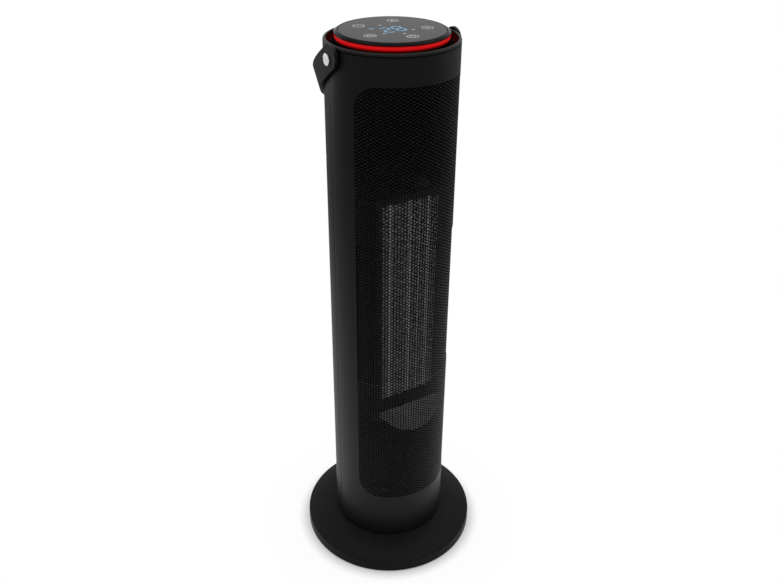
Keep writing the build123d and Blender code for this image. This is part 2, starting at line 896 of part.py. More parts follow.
with BuildPart() as panel_lamps:
    with BuildSketch(Plane.XY.offset(board_top)):
        with PolarLocations(lamp_circle, lamp_count, -90, rotate=False):
            Rectangle(lamp_width, lamp_depth)
    extrude(amount=display_board_drop)
save("panel_lamps", panel_lamps.part)

with BuildPart() as touch_springs:
    with BuildSketch(Plane.XY.offset(board_top)):
        with PolarLocations(touch_circle, touch_count, -90 + touch_turn):
            Circle(touch_radius)
            Circle(touch_radius - 1, mode=Mode.SUBTRACT)
    extrude(amount=display_board_drop)
save("touch_springs", touch_springs.part)

# Handle: strap bent to a half oval, folded down behind the column, and its pivots

strap_plane = Plane(
    origin=(0, 0, pivot_height),
    x_dir=(1, 0, 0),
    z_dir=(0, sin(radians(strap_tilt)), cos(radians(strap_tilt))),
)
oval_outer = strap_reach - strap_straight
oval_inner = oval_outer - strap_thickness
with BuildPart() as handle_strap:
    with BuildSketch(strap_plane):
        with BuildLine():
            Line((-strap_outer, -strap_tab), (-strap_outer, strap_straight))
            EllipticalCenterArc((0, strap_straight), strap_outer, oval_outer, 0, arc_size=180)
            Polyline(
                (strap_outer, strap_straight),
                (strap_outer, -strap_tab),
                (strap_inner, -strap_tab),
                (strap_inner, strap_straight),
            )
            EllipticalCenterArc((0, strap_straight), strap_inner, oval_inner, 0, arc_size=180)
            Polyline(
                (-strap_inner, strap_straight),
                (-strap_inner, -strap_tab),
                (-strap_outer, -strap_tab),
            )
        make_face()
    extrude(amount=strap_width / 2, both=True)
    fillet(handle_strap.edges().filter_by(Axis.X), radius=strap_width / 2 - strap_end_flat)
    with BuildSketch(Plane.YZ):
        with Locations((0, pivot_height)):
            Circle(pivot_radius + running_gap)
    extrude(amount=2 * column_radius, both=True, mode=Mode.SUBTRACT)
save("handle_strap", handle_strap.part)

head_face = strap_outer + swing_gap
with BuildPart() as pivot_screws:
    for side in (-1, 1):
        outward = Plane(origin=(side * head_face, 0, pivot_height), z_dir=(side, 0, 0))
        with BuildSketch(outward):
            Circle(pivot_head_radius)
        extrude(amount=pivot_head_height)
        with BuildSketch(outward):
            Circle(pivot_radius)
        extrude(amount=-pivot_length)
        with Locations((side * (head_face + pivot_head_height), 0, pivot_height)):
            Box(pivot_head_height, 2 * pivot_head_radius, pivot_slot, mode=Mode.SUBTRACT)
save("pivot_screws", pivot_screws.part)

with BuildPart() as pivot_washers:
    for side in (-1, 1):
        with BuildSketch(Plane(origin=(side * column_radius, 0, pivot_height), z_dir=(side, 0, 0))):
            Circle(washer_radius)
            Circle(pivot_radius + running_gap, mode=Mode.SUBTRACT)
        extrude(amount=strap_gap - washer_slack)
save("pivot_washers", pivot_washers.part)

# Bulkheads above and below the fan, and the sill that slopes down to the grille

bulkhead_radius = shell_inner - bulkhead_gap
with BuildPart() as case_floor:
    with BuildSketch(Plane.XY.offset(case_floor_height - bulkhead)):
        Circle(bulkhead_radius)
        with Locations((0, -bulkhead_chord - column_radius / 2)):
            Rectangle(2 * column_radius, column_radius, mode=Mode.SUBTRACT)
        with Locations((fan_x, fan_y)):
            Circle(shaft_radius + shaft_clearance, mode=Mode.SUBTRACT)
    extrude(amount=bulkhead)
save("case_floor", case_floor.part)

with BuildPart() as case_roof:
    with BuildSketch(Plane.XY.offset(case_roof_height)):
        Circle(bulkhead_radius)
        with Locations((0, -roof_chord - column_radius / 2)):
            Rectangle(2 * column_radius, column_radius, mode=Mode.SUBTRACT)
        with Locations((fan_x, fan_y)):
            Circle(bearing_neck + fit_gap, mode=Mode.SUBTRACT)
    extrude(amount=bulkhead)
save("case_roof", case_roof.part)

sill_front = bulkhead_chord + sill_depth
with BuildPart() as outlet_sill:
    with BuildSketch(Plane.YZ.offset(-column_radius)):
        Polygon(
            (-bulkhead_chord + sill_lap, case_floor_height - bulkhead),
            (-bulkhead_chord, case_floor_height - bulkhead),
            (-bulkhead_chord, case_floor_height),
            (-sill_front, case_floor_height - sill_drop),
            (-sill_front, case_floor_height - sill_drop - 2 * sill_thickness),
            (-bulkhead_chord, case_floor_height - bulkhead - sill_thickness),
            (-bulkhead_chord + sill_lap, case_floor_height - bulkhead - sill_thickness),
            align=None,
        )
    extrude(amount=2 * column_radius)
    with BuildSketch(Plane.XY.offset(case_floor_height - 2 * sill_drop)):
        Circle(sheet_inner - plate_gap)
    extrude(amount=2 * sill_drop, mode=Mode.INTERSECT)
save("outlet_sill", outlet_sill.part)


def spiral(angle, extra):
    """Point of the scroll's curve about the fan's axis."""
    share = (angle - scroll_start) / (scroll_end - scroll_start)
    radius = fan_radius + scroll_gap + scroll_growth * share + extra
    return (fan_x + radius * cos(radians(angle)), fan_y + radius * sin(radians(angle)))


# Scroll and tongue: the two walls of the cross-flow fan's case

spiral_steps = 10
spiral_angles = [
    scroll_start + (scroll_end - scroll_start) * step / spiral_steps for step in range(spiral_steps + 1)
]
with BuildPart() as scroll_wall:
    with BuildSketch(Plane.XY.offset(case_floor_height)):
        with BuildLine():
            near = Spline(*[spiral(angle, 0) for angle in spiral_angles])
            far = Spline(*[spiral(angle, scroll_wall_thickness) for angle in spiral_angles])
            Line(near @ 0, far @ 0)
            Polyline(
                near @ 1,
                (-element_width / 2, frame_back),
                (-element_width / 2 - scroll_wall_thickness, frame_back),
                far @ 1,
            )
        make_face()
    extrude(amount=case_height)
save("scroll_wall", scroll_wall.part)

tongue_radius = fan_radius + tongue_gap + tongue_lip
tongue_tip = (
    fan_x + tongue_radius * cos(radians(tongue_angle)),
    fan_y + tongue_radius * sin(radians(tongue_angle)),
)
tongue_end = (tongue_tip[0] + tongue_back / 2, tongue_tip[1] + tongue_back)
with BuildPart() as tongue_wall:
    with BuildSketch(Plane.XY.offset(case_floor_height)):
        with BuildLine() as tongue_path:
            Polyline((element_width / 2, frame_back), tongue_tip, tongue_end)
        trace(line_width=scroll_wall_thickness)
        with Locations(tongue_tip):
            Circle(tongue_lip)
        with Locations((0, frame_back - column_radius / 2)):
            Rectangle(2 * column_radius, column_radius, mode=Mode.SUBTRACT)
    extrude(amount=case_height)
save("tongue_wall", tongue_wall.part)

# Cross-flow impeller: swept blades between discs, on a motor shaft and a stub shaft


def polar(radius, angle):
    """Point at a radius and an angle in degrees."""
    return (radius * cos(radians(angle)), radius * sin(radians(angle)))


blade_turn = degrees(blade_thickness / fan_radius)
blade_middle = (fan_inner_radius + fan_radius) / 2
blade_tip = fan_radius - blade_tip_gap
with BuildSketch() as blade:
    with BuildLine():
        ThreePointArc(
            polar(fan_inner_radius, 0),
            polar(blade_middle, blade_bow * blade_sweep),
            polar(blade_tip, blade_sweep),
        )
        ThreePointArc(
            polar(fan_inner_radius, blade_turn),
            polar(blade_middle, blade_bow * blade_sweep + blade_turn),
            polar(blade_tip, blade_sweep + blade_turn),
        )
        Line(polar(fan_inner_radius, 0), polar(fan_inner_radius, blade_turn))
        Line(polar(blade_tip, blade_sweep), polar(blade_tip, blade_sweep + blade_turn))
    make_face()

with BuildPart() as impeller:
    with BuildSketch(Plane.XY.offset(fan_bottom)):
        with Locations((fan_x, fan_y)):
            with PolarLocations(0, blade_count):
                add(blade.sketch)
    extrude(amount=fan_top - fan_bottom)
    for step in range(fan_disc_count):
        level = fan_bottom + (fan_top - fan_bottom - fan_disc) * step / (fan_disc_count - 1)
        with BuildSketch(Plane.XY.offset(level)):
            with Locations((fan_x, fan_y)):
                Circle(fan_radius)
                if 0 < step < fan_disc_count - 1:
                    Circle(fan_inner_radius - 1, mode=Mode.SUBTRACT)
        extrude(amount=fan_disc)
    for level in (fan_bottom, fan_top - fan_hub_height):
        with BuildSketch(Plane.XY.offset(level)):
            with Locations((fan_x, fan_y)):
                Circle(fan_hub_radius)
        extrude(amount=fan_hub_height)
    for level in (fan_bottom, fan_top - fan_hub_height + fan_disc):
        with BuildSketch(Plane.XY.offset(level)):
            with Locations((fan_x, fan_y)):
                Circle(shaft_radius)
        extrude(amount=fan_hub_height - fan_disc, mode=Mode.SUBTRACT)
save("impeller", impeller.part)

motor_bottom = motor_top - motor_height
with BuildPart() as fan_shaft:
    with BuildSketch(Plane.XY.offset(motor_bottom + shaft_inset)):
        with Locations((fan_x, fan_y)):
            Circle(shaft_radius)
    extrude(amount=fan_bottom + fan_hub_height - fan_disc - motor_bottom - shaft_inset)
save("fan_shaft", fan_shaft.part)

stub_bottom = fan_top - fan_hub_height + fan_disc
with BuildPart() as fan_stub:
    with BuildSketch(Plane.XY.offset(stub_bottom)):
        with Locations((fan_x, fan_y)):
            Circle(shaft_radius)
    extrude(amount=fan_top + stub_length - stub_bottom)
save("fan_stub", fan_stub.part)

with BuildPart() as top_bearing:
    with BuildSketch(Plane.XY.offset(case_roof_height)):
        with Locations((fan_x, fan_y)):
            Circle(bearing_neck)
    extrude(amount=bulkhead)
    with BuildSketch(Plane.XY.offset(case_roof_height + bulkhead)):
        with Locations((fan_x, fan_y)):
            Circle(bearing_radius)
    extrude(amount=bearing_height)
    fillet(top_bearing.edges().group_by(Axis.Z)[-1], radius=bearing_round)
    with BuildSketch(Plane.XY.offset(case_roof_height)):
        with Locations((fan_x, fan_y)):
            Circle(shaft_radius + running_gap)
    extrude(amount=bulkhead + bearing_height, mode=Mode.SUBTRACT)
save("top_bearing", top_bearing.part)

# Fan motor, hung from the case floor on three rubber mounts

with BuildPart() as fan_motor:
    with BuildSketch(Plane.XZ):
        Polygon(
            (0, motor_bottom),
            (motor_radius - motor_cap / 2, motor_bottom),
            (motor_radius - motor_cap / 2, motor_bottom + motor_cap),
            (motor_radius, motor_bottom + motor_cap),
            (motor_radius, motor_top - motor_cap),
            (motor_radius - motor_cap / 2, motor_top - motor_cap),
            (motor_radius - motor_cap / 2, motor_top - motor_flange),
            (0, motor_top - motor_flange),
            align=None,
        )
    revolve(axis=Axis.Z)
    with BuildSketch(Plane.XY.offset(motor_bottom + shaft_inset)):
        Circle(shaft_radius + running_gap)
    extrude(amount=motor_height, mode=Mode.SUBTRACT)
fan_motor_placed = Pos(fan_x, fan_y, 0) * fan_motor.part
save("fan_motor", fan_motor_placed)

with BuildPart() as motor_bracket:
    with BuildSketch(Plane.XY.offset(motor_top - motor_flange)):
        with Locations((fan_x, fan_y)):
            Circle(motor_radius - motor_cap / 2)
            with PolarLocations(mount_circle, mount_count, 90):
                Circle(mount_radius + mount_pad)
            Circle(shaft_radius + shaft_clearance, mode=Mode.SUBTRACT)
    extrude(amount=motor_flange)
save("motor_bracket", motor_bracket.part)

with BuildPart() as motor_mounts:
    with BuildSketch(Plane.XY.offset(motor_top)):
        with Locations((fan_x, fan_y)):
            with PolarLocations(mount_circle, mount_count, 90):
                Circle(mount_radius)
    extrude(amount=motor_gap)
save("motor_mounts", motor_mounts.part)

# Heating element: frame, three tubes, side plates and corrugated fins

element_unit = element_width / tube_count
tube_places = [(step - (tube_count - 1) / 2) * element_unit for step in range(tube_count)]
with BuildPart() as element_frame:
    with BuildSketch(Plane.XZ.offset(-frame_y)):
        with Locations((0, case_floor_height + case_height / 2)):
            Rectangle(element_width + 2 * frame_side, case_height)
        with Locations((0, (fin_bottom + fin_top) / 2)):
            Rectangle(element_width, fin_top - fin_bottom, mode=Mode.SUBTRACT)
    extrude(amount=-frame_depth)
    fillet(element_frame.edges().filter_by(Axis.Z).group_by(Axis.Y)[0].sort_by(Axis.X)[0], radius=2)
    fillet(element_frame.edges().filter_by(Axis.Z).group_by(Axis.Y)[0].sort_by(Axis.X)[-1], radius=2)
save("element_frame", element_frame.part)

with BuildPart() as heater_tubes:
    with BuildSketch(Plane.XZ.offset(element_front)):
        for place in tube_places:
            with Locations((place, (fin_bottom + fin_top) / 2)):
                Rectangle(tube_width, fin_top - fin_bottom)
    extrude(amount=-element_depth)
save("heater_tubes", heater_tubes.part)

plate_places = [place + side * (element_unit - fin_plate) / 2 for place in tube_places for side in (-1, 1)]
with BuildPart() as fin_plates:
    with BuildSketch(Plane.XZ.offset(element_front)):
        for place in plate_places:
            with Locations((place, (fin_bottom + fin_top) / 2)):
                Rectangle(fin_plate, fin_top - fin_bottom)
    extrude(amount=-element_depth)
save("fin_plates", fin_plates.part)


def corrugation(left, right):
    """Outline of a zigzag fin strip between two uprights, seen from the front."""
    rise = fin_pitch / 2
    lean = fin_sheet * hypot(right - left, rise) / rise
    turns = int((fin_top - fin_bottom) / rise)
    edge = [(right - lean if turn % 2 else left, fin_bottom + turn * rise) for turn in range(turns + 1)]
    return edge + [(x + lean, z) for x, z in reversed(edge)]


fin_start = tube_width / 2 + fin_gap
fin_end = element_unit / 2 - fin_plate - fin_gap
with BuildPart() as heater_fins:
    with BuildSketch(Plane.XZ.offset(element_front)):
        for place in tube_places:
            Polygon(*corrugation(place - fin_end, place - fin_start), align=None)
            Polygon(*corrugation(place + fin_start, place + fin_end), align=None)
    extrude(amount=-element_depth)
save("heater_fins", heater_fins.part)

with BuildPart() as heater_terminals:
    for place in tube_places:
        for level in (fin_bottom + terminal_width, fin_top - terminal_width):
            with Locations((place, -element_front + element_depth, level)):
                Box(
                    terminal_thickness,
                    terminal_length,
                    terminal_width,
                    align=(Align.CENTER, Align.MIN, Align.CENTER),
                )
save("heater_terminals", heater_terminals.part)

with BuildPart() as thermal_cutout:
    with BuildSketch(Plane.XY.offset(case_roof_height + bulkhead)):
        with Locations((cutout_x, cutout_y)):
            SlotCenterToCenter(cutout_flange * cutout_radius, cutout_flange_width)
    extrude(amount=edge_round)
    with BuildSketch(Plane.XY.offset(case_roof_height + bulkhead)):
        with Locations((cutout_x, cutout_y)):
            Circle(cutout_radius)
    extrude(amount=cutout_height)
    fillet(thermal_cutout.edges().group_by(Axis.Z)[-1], radius=edge_round)
save("thermal_cutout", thermal_cutout.part)

# Power board on an upright carrier behind the hub, and the sealed tilt switch

carrier_base = column_bottom + floor_thickness + floor_rib
post_spread = carrier_width - 2 * post_inset * board_margin
post_rise = carrier_height - 2 * post_inset * board_margin
with BuildPart() as board_carrier:
    with BuildSketch(Plane.XY.offset(carrier_base)):
        with Locations((0, carrier_y)):
            Rectangle(carrier_width, carrier_foot, align=(Align.CENTER, Align.MIN))
    extrude(amount=carrier_thickness)
    with BuildSketch(Plane.XY.offset(carrier_base)):
        with Locations((0, carrier_y)):
            Rectangle(carrier_width, carrier_thickness, align=(Align.CENTER, Align.MIN))
    extrude(amount=carrier_height)
    with BuildSketch(Plane.XZ.offset(-carrier_y)):
        with Locations((0, carrier_base + carrier_height / 2 + board_margin)):
            with GridLocations(post_spread, post_rise, 2, 2):
                Circle(board_margin)
    extrude(amount=board_gap)
    for side in (-1, 1):
        with BuildSketch(Plane.YZ.offset(side * (carrier_width / 2 - 2 * board_margin))):
            Polygon(
                (carrier_y + 1, carrier_base + 1),
                (carrier_y + carrier_foot - 1, carrier_base + 1),
                (carrier_y + 1, carrier_base + 2 * carrier_foot),
                align=None,
            )
        extrude(amount=side * carrier_thickness)
save("board_carrier", board_carrier.part)

board_face = carrier_y - board_gap - board_thickness
board_middle = carrier_base + carrier_height / 2 + board_margin
with BuildPart() as power_board:
    with BuildSketch(Plane.XZ.offset(-board_face - board_thickness)):
        with Locations((0, board_middle)):
            Rectangle(carrier_width - 2 * board_margin, carrier_height - 4 * board_margin)
    extrude(amount=board_thickness)
save("power_board", power_board.part)

with BuildPart() as power_relays:
    with BuildSketch(Plane.XZ.offset(-board_face)):
        with Locations((0, board_middle + relay_height + board_margin)):
            with GridLocations(relay_width + board_margin, relay_height, 3, 1):
                Rectangle(relay_width, relay_height)
    extrude(amount=relay_depth)
save("power_relays", power_relays.part)

with BuildPart() as power_transformer:
    with BuildSketch(Plane.XZ.offset(-board_face)):
        with Locations((-transformer_width / 2 - board_margin / 2, board_middle - transformer_height / 2)):
            Rectangle(transformer_width, transformer_height)
    extrude(amount=transformer_depth)
    with BuildSketch(Plane.XZ.offset(-board_face)):
        with Locations((-transformer_width / 2 - board_margin / 2, board_middle - transformer_height / 2)):
            Rectangle(core_share * transformer_width, transformer_height + board_margin)
    extrude(amount=coil_share * transformer_depth)
save("power_transformer", power_transformer.part)

with BuildPart() as filter_capacitor:
    with BuildSketch(Plane.XZ.offset(-board_face)):
        with Locations((transformer_width / 2, board_middle - transformer_height / 2)):
            Circle(capacitor_radius)
    extrude(amount=transformer_depth)
    fillet(filter_capacitor.edges().group_by(Axis.Y)[0], radius=edge_round)
save("filter_capacitor", filter_capacitor.part)

with BuildPart() as tilt_switch:
    with Locations((tilt_switch_x, 0, column_bottom + floor_thickness)):
        Box(*3 * (tilt_switch_size,), align=(Align.CENTER, Align.CENTER, Align.MIN))
    fillet(tilt_switch.edges().group_by(Axis.Z)[-1], radius=edge_round)
save("tilt_switch", tilt_switch.part)

# Mains switch: body snapped into the rear shell, and the rocker that tips in it

switch_face = column_radius + switch_lift
rocker_axis = switch_face - rocker_inset * cos(radians(rocker_tilt))
flange_width = switch_width + 2 * switch_flange
flange_length = switch_length + 2 * switch_flange
pocket_width = switch_width - 2 * switch_frame
pocket_length = switch_length - 2 * switch_frame
pin_reach = pocket_width / 2 + switch_frame / 2
with BuildPart() as switch_body:
    with BuildSketch(Plane.XZ.offset(-switch_face)):
        with Locations((0, switch_height)):
            RectangleRounded(flange_width, flange_length, switch_corner)
    extrude(amount=2 * switch_flange)
    with BuildSketch(Plane.XY.offset(switch_height - switch_length)):
        Circle(column_radius)
    extrude(amount=2 * switch_length, mode=Mode.SUBTRACT)
    with BuildSketch(Plane.XZ.offset(-switch_face)):
        with Locations((0, switch_height)):
            Rectangle(switch_width - 2 * fit_gap, switch_length - 2 * fit_gap)
    extrude(amount=switch_depth)
    with BuildSketch(Plane.XZ.offset(-switch_face)):
        with Locations((0, switch_height)):
            Rectangle(pocket_width, pocket_length)
    extrude(amount=rocker_depth, mode=Mode.SUBTRACT)
    with BuildSketch(Plane.YZ.offset(-pin_reach)):
        with Locations((rocker_axis, switch_height)):
            Circle(rocker_pin + running_gap)
    extrude(amount=2 * pin_reach, mode=Mode.SUBTRACT)
save("switch_body", switch_body.part)

rocker_reach = pocket_length / 2 - rocker_gap
rocker_rise = rocker_inset + rocker_reach * sin(radians(rocker_tilt))
with BuildPart() as switch_rocker:
    with BuildSketch(Plane.YZ.offset(rocker_gap - pocket_width / 2)):
        with Locations(Location((rocker_axis, switch_height), rocker_tilt)):
            Circle(rocker_reach)
            Polygon(
                (-2 * rocker_pin, -rocker_reach),
                (rocker_rise, -rocker_reach),
                (rocker_inset, 0),
                (rocker_rise, rocker_reach),
                (-2 * rocker_pin, rocker_reach),
                align=None,
                mode=Mode.INTERSECT,
            )
    extrude(amount=pocket_width - 2 * rocker_gap)
    with BuildSketch(Plane.YZ.offset(rocker_pin_play - pin_reach)):
        with Locations((rocker_axis, switch_height)):
            Circle(rocker_pin)
    extrude(amount=2 * (pin_reach - rocker_pin_play))
save("switch_rocker", switch_rocker.part)
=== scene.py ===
import json
from math import asin, cos, hypot, pi, radians, sin

import bmesh
import bpy
from mathutils import Matrix, Vector


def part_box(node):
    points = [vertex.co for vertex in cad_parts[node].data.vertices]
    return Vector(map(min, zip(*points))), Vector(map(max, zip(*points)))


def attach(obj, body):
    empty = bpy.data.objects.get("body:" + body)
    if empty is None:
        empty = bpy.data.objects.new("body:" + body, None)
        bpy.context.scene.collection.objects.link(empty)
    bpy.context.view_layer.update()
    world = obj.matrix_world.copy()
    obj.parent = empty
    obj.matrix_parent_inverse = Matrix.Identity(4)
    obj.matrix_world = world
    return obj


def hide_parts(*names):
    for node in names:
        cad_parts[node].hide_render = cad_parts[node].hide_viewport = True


# Tower fan heater: finishes, perforated front, printed marks and display. Metres, front towards -Y.

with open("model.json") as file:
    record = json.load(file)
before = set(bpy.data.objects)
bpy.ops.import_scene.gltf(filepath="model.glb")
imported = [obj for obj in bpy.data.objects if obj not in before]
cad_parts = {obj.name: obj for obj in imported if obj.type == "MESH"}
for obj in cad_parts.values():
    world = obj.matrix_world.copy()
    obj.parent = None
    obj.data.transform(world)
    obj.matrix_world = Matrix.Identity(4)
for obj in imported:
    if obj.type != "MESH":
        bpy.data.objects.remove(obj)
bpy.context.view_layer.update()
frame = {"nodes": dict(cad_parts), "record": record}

MM = 0.001

# Camera that fits the photograph, image 780 by 585 pixels
IMAGE_WIDTH = 780
CAMERA_PLACE = (-0.48195, -0.78647, 0.9175)
CAMERA_TURN = radians(31.5)
CAMERA_YAW = -0.00025
CAMERA_PITCH = 0.53152
CAMERA_ROLL = 0.00801
FOCAL_PIXELS = 846.55
SENSOR_WIDTH = 36.0

# Studio. The floor turns matt close to the base, and dims in gloss far from it.
FLOOR_REACH = 6.0
CONTACT_SHADOW = 18.0 * MM
MATT_START, MATT_END, MATT_SHARE = 0.2, 0.12, 0.05
DIM_START, DIM_END, DIM_SHARE = 0.25, 1.2, 0.72
WORLD_LIGHT = 0.35

# Perforated sheet, flat sizes before it is bent round the column
HOLE_PITCH = 4.0 * MM
HOLE_RADIUS = 1.5 * MM
HOLE_SIDES = 12
SHEET_THICKNESS = 0.8 * MM
SHEET_MARGIN = 5.0 * MM
OPENING_CORNER = 26.0 * MM
CORNER_CUTS = 7
SHEET_LENGTHS = 3
MERGE_DISTANCE = 0.01 * MM

# Half the width of the sill's grey part behind the front sheet; past it both ends are black, as
# painted shade
SILL_REACH = 48.0 * MM

# Plates beside the blower case
COLUMN_BORE = 72.4 * MM
BAFFLE_THICKNESS = 1.2 * MM
BAFFLE_GAP = 0.3 * MM

# Groove under the light ring, whose inner wall is the boss, and the painted red glow on its walls
GROOVE_TOP = 693.5 * MM
GROOVE_RADIUS = 72.3 * MM
BOSS_RADIUS = 62.0 * MM
RING_LEVEL = 695.2 * MM
RING_TOP = 699.0 * MM
RING_SHADE = 1.4 * MM
PAINTED_GLOW_REACH = 3.2 * MM
BOSS_PAINTED_GLOW = 0.45
WALL_PAINTED_GLOW = 0.018

# How much stronger the ring lights its groove than it shows
RING_GLOW = 1.5

# Printed marks on the touch panel
MARK_LIFT = 0.03 * MM
MARK_THICKNESS = 0.03 * MM
ICON_CIRCLE = 38.5 * MM
ICON_RADIUS = 6.6 * MM
ICON_LINE = 0.8 * MM
ICON_AZIMUTHS = (-88, -21, 58, 130, 202)
SIGN_REACH = 0.55 * ICON_RADIUS

# Figures and lamps on the touch panel, across and up from its middle
DIGIT_HEIGHT = 20.0 * MM
DIGIT_WIDTH = 9.5 * MM
DIGIT_LINE = 2.1 * MM
DIGIT_LEVEL = -2.5 * MM
DIGITS = ((-8.0 * MM, "2"), (6.5 * MM, "8"))
DIGIT_SEGMENTS = {"2": "abged", "8": "abcdefg"}
BAR_PLACE = (-19.5 * MM, 10.5 * MM)
BAR_LENGTH = 6.0 * MM
BAR_WIDTH = 2.0 * MM
BAR_TURN = -0.3
LAMP_PLACES = ((-3.2, 20.0), (-18.2, -13.5), (17.8, -13.8), (0.4, -24.1))
LAMP_LENGTH = 4.0 * MM
LAMP_WIDTH = 1.6 * MM


# Small helpers for node trees

def set_socket(tree, socket, value):
    """Feeds an input from another node's output, or sets it to a plain value."""
    if isinstance(value, bpy.types.NodeSocket):
        tree.links.new(value, socket)
    else:
        socket.default_value = value


def feed(tree, target, **values):
    """Sets a node's inputs by their names, written with _ for a space."""
    for key, value in values.items():
        set_socket(tree, target.inputs[key.replace("_", " ")], value)


def feed_in_order(tree, target, *values):
    """Sets a node's first inputs, for nodes whose inputs share one name."""
    for socket, value in zip(target.inputs, values):
        set_socket(tree, socket, value)
    return target


def node(tree, kind, **values):
    """Adds a node with its settings and inputs."""
    made = tree.nodes.new(kind)
    for key, value in values.items():
        if hasattr(made, key):
            setattr(made, key, value)
        else:
            feed(tree, made, **{key: value})
    return made


def calculate(tree, operation, *values):
    made = node(tree, "ShaderNodeMath", operation=operation)
    return feed_in_order(tree, made, *values).outputs[0]


def multiply_vectors(tree, first, second):
    made = node(tree, "ShaderNodeVectorMath", operation="MULTIPLY")
    return feed_in_order(tree, made, first, second).outputs[0]


def vector_length(tree, vector):
    made = node(tree, "ShaderNodeVectorMath", operation="LENGTH")
    return feed_in_order(tree, made, vector).outputs["Value"]


def mix_shaders(tree, share, first, second):
    made = node(tree, "ShaderNodeMixShader")
    return feed_in_order(tree, made, share, first, second).outputs[0]


def ramp(tree, value, start, end, low=0.0, high=1.0):
    """Runs from low, at the start, to high, at the end, and stays there."""
    made = node(
        tree, "ShaderNodeMapRange",
        Value=value, From_Min=start, From_Max=end, To_Min=low, To_Max=high,
    )
    return made.outputs["Result"]


def blend(tree, share, first, second):
    """Goes from the first colour to the second."""
    made = node(tree, "ShaderNodeMix", data_type="RGBA", Factor=share, A=first, B=second)
    return made.outputs["Result"]


def object_place(tree):
    return node(tree, "ShaderNodeTexCoord").outputs["Object"]


def split(tree, vector):
    return node(tree, "ShaderNodeSeparateXYZ", Vector=vector).outputs


def looks_up(tree, start, end):
    """How far a face looks up, as the height of its normal goes from start to end."""
    normal = node(tree, "ShaderNodeNewGeometry").outputs["Normal"]
    return ramp(tree, split(tree, normal)["Z"], start, end)


def shows_background(tree):
    """1 for rays that show the studio: from the camera, off gloss and through glass."""
    path = node(tree, "ShaderNodeLightPath").outputs
    seen = calculate(tree, "MAXIMUM", path["Is Camera Ray"], path["Is Glossy Ray"])
    return calculate(tree, "MAXIMUM", seen, path["Is Transmission Ray"])


# Node groups shared by the materials

def new_group(name, inputs, outputs):
    group = bpy.data.node_groups.new(name, "ShaderNodeTree")
    for socket, kind, value in inputs:
        made = group.interface.new_socket(socket, in_out="INPUT", socket_type=kind)
        made.default_value = value
    for socket, kind in outputs:
        group.interface.new_socket(socket, in_out="OUTPUT", socket_type=kind)
    start = group.nodes.new("NodeGroupInput")
    end = group.nodes.new("NodeGroupOutput")
    return group, start.outputs, end


def make_grain_group():
    """Fine moulded or powder-coat grain: a normal and a soft mask."""
    group, given, end = new_group(
        "fine_grain",
        [("Scale", "NodeSocketFloat", 1800.0), ("Height", "NodeSocketFloat", 0.2)],
        [("Normal", "NodeSocketVector"), ("Mask", "NodeSocketFloat")],
    )
    noise = node(
        group, "ShaderNodeTexNoise",
        Vector=object_place(group), Scale=given["Scale"], Detail=3.0, Roughness=0.6,
    )
    bump = node(
        group, "ShaderNodeBump",
        Height=noise.outputs["Fac"], Strength=given["Height"], Distance=0.2 * MM,
    )
    feed(group, end, Normal=bump.outputs["Normal"], Mask=noise.outputs["Fac"])
    return group


def make_tone_group():
    """Slow variation of a colour between two tones, with a little dust on faces that look up; a
    strong dust setting gives painted glints there.
    """
    group, given, end = new_group(
        "tone_and_dust",
        [
            ("Color", "NodeSocketColor", (0.02, 0.02, 0.02, 1)),
            ("Variation", "NodeSocketFloat", 0.15),
            ("Scale", "NodeSocketFloat", 18.0),
            ("Dust", "NodeSocketFloat", 0.1),
        ],
        [("Color", "NodeSocketColor")],
    )
    place = object_place(group)
    slow = node(group, "ShaderNodeTexNoise", Vector=place, Scale=given["Scale"], Detail=4.0)
    centred = calculate(group, "SUBTRACT", slow.outputs["Fac"], 0.5)
    amount = calculate(group, "MULTIPLY", centred, given["Variation"])
    value = calculate(group, "ADD", amount, 1.0)
    tone = node(group, "ShaderNodeHueSaturation", Value=value, Color=given["Color"])
    specks = node(
        group, "ShaderNodeTexNoise", Vector=place, Scale=420.0, Detail=6.0, Roughness=0.75
    )
    sparse = ramp(group, specks.outputs["Fac"], start=0.52, end=0.78)
    lying = calculate(group, "MULTIPLY", looks_up(group, start=0.6, end=1.0), sparse)
    dust = calculate(group, "MULTIPLY", lying, given["Dust"])
    feed(group, end, Color=blend(group, dust, tone.outputs["Color"], (0.32, 0.31, 0.3, 1)))
    return group


def make_brush_group():
    """Long scratches of drawn, rolled or turned metal along one direction."""
    group, given, end = new_group(
        "drawn_metal",
        [
            ("Stretch", "NodeSocketVector", (900.0, 900.0, 20.0)),
            ("Low", "NodeSocketFloat", 0.25),
            ("High", "NodeSocketFloat", 0.5),
            ("Height", "NodeSocketFloat", 0.1),
        ],
        [("Roughness", "NodeSocketFloat"), ("Normal", "NodeSocketVector")],
    )
    stretched = multiply_vectors(group, object_place(group), given["Stretch"])
    lines = node(group, "ShaderNodeTexNoise", Vector=stretched, Scale=1.0, Detail=3.0)
    rough = ramp(group, lines.outputs["Fac"], 0.0, 1.0, given["Low"], given["High"])
    bump = node(
        group, "ShaderNodeBump",
        Height=lines.outputs["Fac"], Strength=given["Height"], Distance=0.1 * MM,
    )
    feed(group, end, Roughness=rough, Normal=bump.outputs["Normal"])
    return group


GRAIN = make_grain_group()
TONE = make_tone_group()
BRUSH = make_brush_group()


def toned(tree, color, **values):
    """Colour with slow tone changes and dust."""
    made = node(tree, "ShaderNodeGroup", node_tree=TONE, Color=(*color, 1), **values)
    return made.outputs["Color"]


def grained(tree, grain, height):
    return node(tree, "ShaderNodeGroup", node_tree=GRAIN, Scale=grain, Height=height).outputs


# Materials

def start_material(name):
    material = bpy.data.materials.new(name)
    material.use_nodes = True
    tree = material.node_tree
    tree.nodes.clear()
    surface = node(tree, "ShaderNodeBsdfPrincipled")
    node(tree, "ShaderNodeOutputMaterial", Surface=surface.outputs["BSDF"])
    material.diffuse_color = (0.1, 0.1, 0.1, 1)
    return material, tree, surface


